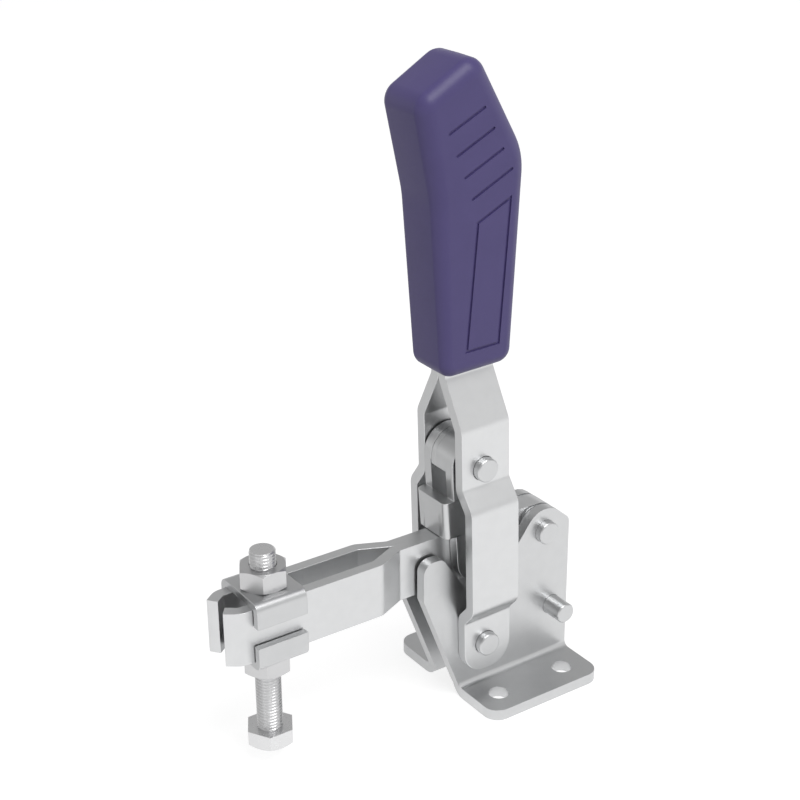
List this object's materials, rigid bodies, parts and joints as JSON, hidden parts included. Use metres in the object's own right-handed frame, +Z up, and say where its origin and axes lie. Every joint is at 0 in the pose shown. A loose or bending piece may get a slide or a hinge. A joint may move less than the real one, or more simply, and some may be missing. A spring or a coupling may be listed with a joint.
{
  "type": "toggle clamp",
  "caption": "Vertical-handle toggle clamp: folded angle base, joggled handle straps with moulded grip, link plates, slotted arm and adjustable spindle.",
  "frame": {"origin": "centre of the four mounting holes, on the underside of the base flanges", "axes": "+Z up away from the mounting surface, the arm points to -X, Y runs across the clamp"},
  "size_m": [0.1271, 0.0542, 0.2092],
  "materials": {
    "zinc_plated_steel": "satin",
    "spindle_steel": "satin",
    "grip_plastic": "matte"
  },
  "bodies": {
    "base": {"base_plate_right": "zinc_plated_steel", "base_plate_left": "zinc_plated_steel", "arm_pivot_rivet": "zinc_plated_steel", "handle_pivot_rivet": "zinc_plated_steel", "stop_pin": "zinc_plated_steel", "arm_pivot_washers": "zinc_plated_steel", "base_spacer": "zinc_plated_steel"},
    "handle": {"handle_plate_right": "zinc_plated_steel", "handle_plate_left": "zinc_plated_steel", "grip": "grip_plastic", "handle_link_rivet": "zinc_plated_steel"},
    "link": {"link_channel": "zinc_plated_steel", "link_spacer": "zinc_plated_steel", "link_shim": "zinc_plated_steel", "toggle_rivet": "zinc_plated_steel"},
    "arm": {"arm_strip_right": "zinc_plated_steel", "arm_strip_left": "zinc_plated_steel", "toggle_rivet_core": "zinc_plated_steel"},
    "carriage": {"upper_flanged_washer": "zinc_plated_steel", "lower_flanged_washer": "zinc_plated_steel", "upper_nut": "spindle_steel", "lower_nut": "spindle_steel"},
    "spindle": {"spindle_bolt": "spindle_steel"}
  },
  "joints": [
    {"name": "handle_fold", "type": "hinge", "parent": "base", "child": "handle", "pos_m": [-0.01399, 0, 0.0201], "axis": [0, 1, 0], "range_deg": [0, 61]},
    {"name": "arm_fold", "type": "hinge", "parent": "base", "child": "arm", "pos_m": [0.01258, 0, 0.05069], "axis": [0, 1, 0], "range_deg": [0, 102.3]},
    {"name": "link_fold", "type": "hinge", "parent": "handle", "child": "link", "pos_m": [-0.01557, 0, 0.08304], "axis": [0, 1, 0], "range_deg": [0, 79.4]},
    {"name": "spindle_slide", "type": "slide", "parent": "arm", "child": "carriage", "axis": [1, 0, 0], "range_m": [-0.003, 0.032]},
    {"name": "spindle_height", "type": "slide", "parent": "carriage", "child": "spindle", "axis": [0, 0, 1], "range_m": [-0.0045, 0.019]}
  ],
  "couplings": [
    {"joint": "arm_fold", "follows": "handle_fold", "ratio": 1.675},
    {"joint": "link_fold", "follows": "handle_fold", "ratio": 1.299}
  ]
}
